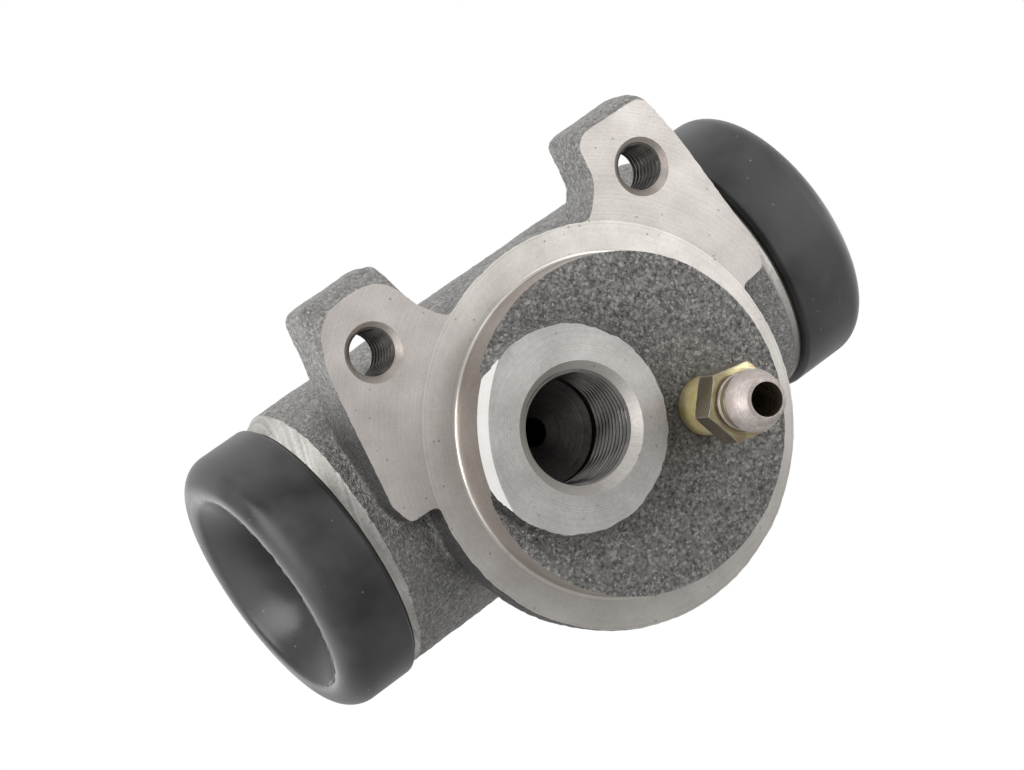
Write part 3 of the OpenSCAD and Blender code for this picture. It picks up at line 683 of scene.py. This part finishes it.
hex_flats, hex_y, hex_t, hex_turn, hex_chamfer, edge_mm = 7, 8.9, 3.15, 11.5, 0.35, 0.12
hex_r = hex_flats / 2 / math.cos(math.radians(30))
hex_front = hex_y + hex_t
nose_len, nose_r, tip_r, hole_r = 4.8, 3.075, 2.05, 1.7
nose_back, nose_end = hex_front + 1.8, hex_front + nose_len
collar_r, collar_t, neck_under_r = 2.75, 0.3, 2.4
screw = [(seat_end, 0), (seat_end, bleed_way_r), (bleed_end, bleed_r), (hex_y + 0.5, bleed_r),
         (hex_front - 0.3, collar_r + 0.1, silver_zinc), (hex_front + collar_t, collar_r, bronze_zinc),
         (hex_front + collar_t + 0.2, neck_under_r, bronze_zinc),
         (nose_back - 0.05, neck_under_r, bronze_zinc),
         (nose_back, nose_r - 0.25, silver_zinc), (nose_back + 0.25, nose_r, silver_zinc),
         (nose_back + 0.6, nose_r, silver_zinc), (nose_end - 0.1, tip_r + 0.08, silver_zinc),
         (nose_end, tip_r - 0.05, silver_zinc), (nose_end, 0)]
bleed_screw = turned("bleed_screw_plated", screw, bleed_at, OUT_OF_FACE, gold_zinc, 96)
bar = [(hex_y, 0), (hex_y, hex_r), (hex_front, hex_r, olive_zinc), (hex_front, 0)]
hexagon = turned("hexagon", bar, (0, 0, 0), OUT_OF_FACE, bronze_zinc, 6)
hexagon.data.transform(Matrix.Translation(Vector(bleed_at) * MM)
                       @ Matrix.Rotation(math.radians(hex_turn), 4, "Y"))
chamfer_len, clear_r = 0.6 * hex_chamfer, hex_r + 0.05
chamfer = [(hex_y, 0), (hex_y, hex_r - hex_chamfer), (hex_y + chamfer_len, clear_r),
           (hex_front - chamfer_len, clear_r), (hex_front, hex_r - hex_chamfer), (hex_front, 0)]
machine(hexagon, turned("chamfers", chamfer, bleed_at, OUT_OF_FACE, olive_zinc, 96), "INTERSECT")
machine(bleed_screw, hexagon, "UNION")
way = [(bleed_end + 0.8, 0), (bleed_end + 0.8, bleed_way_r), (hex_y, bleed_way_r), (hex_y, hole_r),
       (nose_end + 0.5, hole_r), (nose_end + 0.5, 0)]
machine(bleed_screw, turned("bleed_way", way, bleed_at, OUT_OF_FACE, bronze_zinc, 64))
# The bevel puts the painted highlight on the screw's edges.
bleed_screw.data.materials.append(rim_zinc)
edges = bleed_screw.modifiers.new("bright_edges", "BEVEL")
edges.width = edge_mm * MM
edges.segments = 2
edges.limit_method = "ANGLE"
edges.angle_limit = math.radians(40)
edges.material = len(bleed_screw.data.materials) - 1
settle(bleed_screw)
sharpen(bleed_screw, None, 40)
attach(bleed_screw, "bleed_screw")
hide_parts("bleed_screw")

# The boots are moulded rubber, black with a patchy bloom, some dust and a soft sheen. Each grips the
# neck, rolls over at its crest, and funnels down to the piston's snout. Torn flash stands on the
# funnel's rim.


def moulded(name, pale, dark, polish):
    """Moulded rubber: a patchy bloom, a fine film, and specks of dust."""
    finish, tree, place = new_finish(name)
    bloom_mm, film_mm, dust_mm, bump_mm = 9, 0.35, 1.5, 0.05
    black, hazy = 0.35, 0.65
    bloom = add_node(tree, "ShaderNodeTexNoise",
                     {"Vector": place, "Scale": 1 / bloom_mm, "Detail": 3.0, "Roughness": 0.55})
    film = add_node(tree, "ShaderNodeTexNoise",
                    {"Vector": place, "Scale": 1 / film_mm, "Detail": 2.0})
    patchy = add_node(tree, "ShaderNodeMapRange", {"Value": bloom, "From Min": black, "From Max": hazy})
    shade = add_node(tree, "ShaderNodeMix", {0: patchy, 6: linear(dark), 7: linear(pale)},
                     data_type="RGBA")
    dust = add_node(tree, "ShaderNodeTexVoronoi", {"Vector": place, "Scale": 1 / dust_mm})
    near = add_node(tree, "ShaderNodeMapRange",
                    {"Value": dust.outputs["Distance"], "From Min": 0.03, "From Max": 0.1,
                     "To Min": 1.0, "To Max": 0.0})
    some = add_node(tree, "ShaderNodeSeparateXYZ", {"Vector": dust.outputs["Color"]})
    kept = add_node(tree, "ShaderNodeMapRange",
                    {"Value": some.outputs["X"], "From Min": 0.5, "From Max": 1.0,
                     "To Min": 0.0, "To Max": 0.8})
    speck = add_node(tree, "ShaderNodeMath", {0: near, 1: kept}, operation="MULTIPLY")
    colour = add_node(tree, "ShaderNodeMix", {0: speck, 6: shade.outputs[2], 7: linear("#9c9c9c")},
                      data_type="RGBA")
    rough = add_node(tree, "ShaderNodeMapRange",
                     {"Value": bloom, "From Min": black, "From Max": hazy,
                      "To Min": polish, "To Max": polish + 0.18})
    bump = add_node(tree, "ShaderNodeBump",
                    {"Height": film, "Strength": 0.15, "Distance": bump_mm * MM})
    surface(tree, {"Base Color": colour.outputs[2], "Roughness": rough, "Normal": bump, "IOR": 1.52,
                   "Sheen Weight": 0.12, "Sheen Roughness": 0.4})
    return finish


rubber = moulded("moulded_rubber", "#414141", "#0f0f0f", 0.32)
funnel_rubber = moulded("funnel_rubber", "#363636", "#151515", 0.26)
torn_rubber = moulded("torn_rubber", "#858585", "#3a3a3a", 0.5)
right_low, right_high = (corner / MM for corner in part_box("right_boot"))
left_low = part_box("left_boot")[0] / MM
boot_r = (right_high.z - right_low.z) / 2
crest_in, lip_x, lip_w, lip_r = 2.8, shoulder_x, 1.28, 5.06
crest_r = boot_r - crest_in
rim_in, rim_fall, lap, crest_t, crest_drop, neck_over = 1.3, 0.7, 0.02, 1.4, 0.3, 0.9

flash_in, flash_back, trim_from, trim_to, trim_depth = 0.8, 0.2, -6, 2, 0.14
flash_mm = {"Ring radius": crest_r - flash_in, "Bead radius": 0.15, "Tear size": 0.9, "Tear depth": 0.5}
flash, flash_sockets, given = new_growth("torn_flash", dict.fromkeys(flash_mm, "Float"))
ring = add_node(flash, "GeometryNodeCurvePrimitiveCircle",
                {"Resolution": 320, "Radius": given["Ring radius"]})
section = add_node(flash, "GeometryNodeCurvePrimitiveCircle",
                   {"Resolution": 8, "Radius": given["Bead radius"]})
bead = add_node(flash, "GeometryNodeCurveToMesh", {"Curve": ring, "Profile Curve": section})
spot = add_node(flash, "GeometryNodeInputPosition")
tear_scale = add_node(flash, "ShaderNodeMath", {0: 1.0, 1: given["Tear size"]}, operation="DIVIDE")
tear = add_node(flash, "ShaderNodeTexNoise", {"Vector": spot, "Scale": tear_scale, "Detail": 3.0})
tear_mid = add_node(flash, "ShaderNodeMath", {0: tear, 1: 0.5}, operation="SUBTRACT")
tear_out = add_node(flash, "ShaderNodeMath", {0: tear_mid, 1: given["Tear depth"]},
                    operation="MULTIPLY")
outwards = add_node(flash, "GeometryNodeInputNormal")
across = add_node(flash, "ShaderNodeSeparateXYZ", {"Vector": spot}).outputs["Y"]
trimmed = add_node(flash, "ShaderNodeMapRange",
                   {"Value": across, "From Min": trim_from * MM, "From Max": trim_to * MM,
                    "To Min": 0.0, "To Max": -trim_depth * MM})
left_on = add_node(flash, "ShaderNodeMath", {0: tear_out, 1: trimmed}, operation="ADD")
push = add_node(flash, "ShaderNodeVectorMath", {0: outwards, "Scale": left_on}, operation="SCALE")
torn = add_node(flash, "GeometryNodeSetPosition", {"Geometry": bead, "Offset": push})
end_growth(flash, torn, torn_rubber)


def boot_wall(crest_x, roll):
    """Section of a boot from its bead in the neck's groove, round its outside, to its crest."""
    foot_round = 0.45
    outside = [(shoulder_x, neck_r), (shoulder_x, boot_r - foot_round)]
    outside += [(shoulder_x + foot_round * (1 - math.cos(a)), boot_r - foot_round * (1 - math.sin(a)))
                for a in (0.4, 0.8, 1.2, 1.57)]
    turn = [math.radians(90 - 6 * i) for i in range(16)]
    outside += [(crest_x - roll * (1 - math.cos(a)), crest_r + crest_in * math.sin(a)) for a in turn]
    outside += [(crest_x - lap - rim_fall * (1 - math.cos(a)), crest_r - rim_in * math.sin(a))
                for a in (0.2, 0.5)]
    inside = [(crest_x - crest_t, crest_r - crest_drop), (neck_x + neck_over, neck_r),
              (groove_x + groove_w, neck_r), (groove_x + groove_w, neck_r - groove_depth),
              (groove_x, neck_r - groove_depth), (groove_x, neck_r)]
    return outside + inside


def boot_funnel(crest_x, roll):
    """Section of a boot from its crest over the rim, down the funnel to the piston's lip, and back."""
    rolled = [(crest_x - lap - roll * (1 - math.cos(a)), crest_r + crest_in * math.sin(a))
              for a in (0.3, 0.15)]
    turn = [math.radians(12 * i) for i in range(7)]
    rolled += [(crest_x - rim_fall * (1 - math.cos(a)), crest_r - rim_in * math.sin(a)) for a in turn]
    top_x, top_r, low_x, low_r = crest_x - 0.8, crest_r - 1.6, neck_x - 1.6, bore_r - 2.6
    slope = [(i / 6, 0.5 * math.sin(math.pi * i / 6)) for i in range(7)]
    down = [(top_x + (low_x - top_x) * t, top_r + (low_r - top_r) * t - sag) for t, sag in slope]
    down += [(lip_x + lip_w / 2, lip_r + 0.9), (lip_x + lip_w / 2, lip_r)]
    under = [(lip_x - lip_w / 2, lip_r), (lip_x - lip_w / 2, lip_r + 1.5), (neck_x - 2.4, bore_r - 1.6),
             (neck_x - 0.4, bore_r), (neck_x + neck_over, neck_r - 0.9),
             (crest_x - crest_t, crest_r - crest_drop)]
    return rolled + down + under


left_crest, right_crest = bore_at.x - left_low.x, right_high.x - bore_at.x
for side, end, crest_x, roll in (("left", -1, left_crest, 2.85), ("right", 1, right_crest, 2.6)):
    wall = turned(side + "_boot_wall", boot_wall(crest_x, roll), bore_at, (end, 0, 0), rubber, 192)
    sharpen(wall, rubber, 180)
    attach(wall, "housing")
    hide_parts(side + "_boot")
    funnel = turned(side + "_boot_funnel", boot_funnel(crest_x, roll), bore_at, (end, 0, 0),
                    funnel_rubber, 192)
    sharpen(funnel, funnel_rubber, 180)
    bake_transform(funnel)
    torn_rim = made(side + "_boot_flash", bmesh.new(), [])
    grow(torn_rim, flash, flash_sockets, {label: size * MM for label, size in flash_mm.items()})
    rim_at = (bore_at + Vector((end * (crest_x - flash_back), 0, 0))) * MM
    torn_rim.data.transform(Matrix.Translation(rim_at) @ Matrix.Rotation(math.radians(90), 4, "Y"))
    sharpen(torn_rim, torn_rubber, 180)
    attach(torn_rim, "housing")

# Pistons are turned alloy, the cups moulded rubber and the expanders pressed steel. They keep their
# solids, and slide in the bore with the pistons' snouts in the boots' lips.
alloy = tooled("turned_alloy", "#c6c8cb", "#9a9c9f", tuple(bore_at), True, 0.2, 0.3, pits=0.0)
pressed = tooled("pressed_steel", "#a8a8a4", "#7d7d7a", tuple(bore_at), False, 0.4, 0.35, pits=0.1)
cup_rubber = moulded("cup_rubber", "#303032", "#161617", 0.4)
for name, finish in (("piston", alloy), ("cup", cup_rubber), ("expander", pressed)):
    for side in ("left", "right"):
        node = frame["nodes"][side + "_" + name]
        node.data.materials.clear()
        node.data.materials.append(finish)

# The return spring is drawn wire, coiled between the two expanders in two halves. A geometry-nodes
# tree coils the wire.
drawn_wire = tooled("drawn_wire", "#8f8f8d", "#5f5f5e", tuple(bore_at), True, 0.3, 0.3, pits=0.1)
spring_low, spring_high = (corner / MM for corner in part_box("return_spring"))
half_len, half_turns, wire_r = (spring_high.x - spring_low.x) / 2, 3.5, 0.5
coil_r = (spring_high.z - spring_low.z) / 2 - wire_r
coil_values = {"Turns": half_turns, "Coil radius": coil_r * MM, "Length": half_len * MM,
               "Wire radius": wire_r * MM}
coil, coil_sockets, given = new_growth("wire_coil", dict.fromkeys(coil_values, "Float"))
helix = add_node(coil, "GeometryNodeCurveSpiral",
                 {"Resolution": 40, "Rotations": given["Turns"], "Height": given["Length"],
                  "Start Radius": given["Coil radius"], "End Radius": given["Coil radius"]})
section = add_node(coil, "GeometryNodeCurvePrimitiveCircle",
                   {"Resolution": 12, "Radius": given["Wire radius"]})
wire = add_node(coil, "GeometryNodeCurveToMesh",
                {"Curve": helix, "Profile Curve": section, "Fill Caps": True})
end_growth(coil, wire, drawn_wire)
for side, turn in (("left", 180), ("right", 0)):
    half = made(side + "_half_of_spring", bmesh.new(), [])
    grow(half, coil, coil_sockets, coil_values)
    half.data.transform(Matrix.Translation(bore_at * MM) @ Matrix.Rotation(math.radians(turn), 4, "Z")
                        @ Matrix.Rotation(math.radians(90), 4, "Y"))
    sharpen(half, drawn_wire, 180)
    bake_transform(half)
    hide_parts("return_spring")
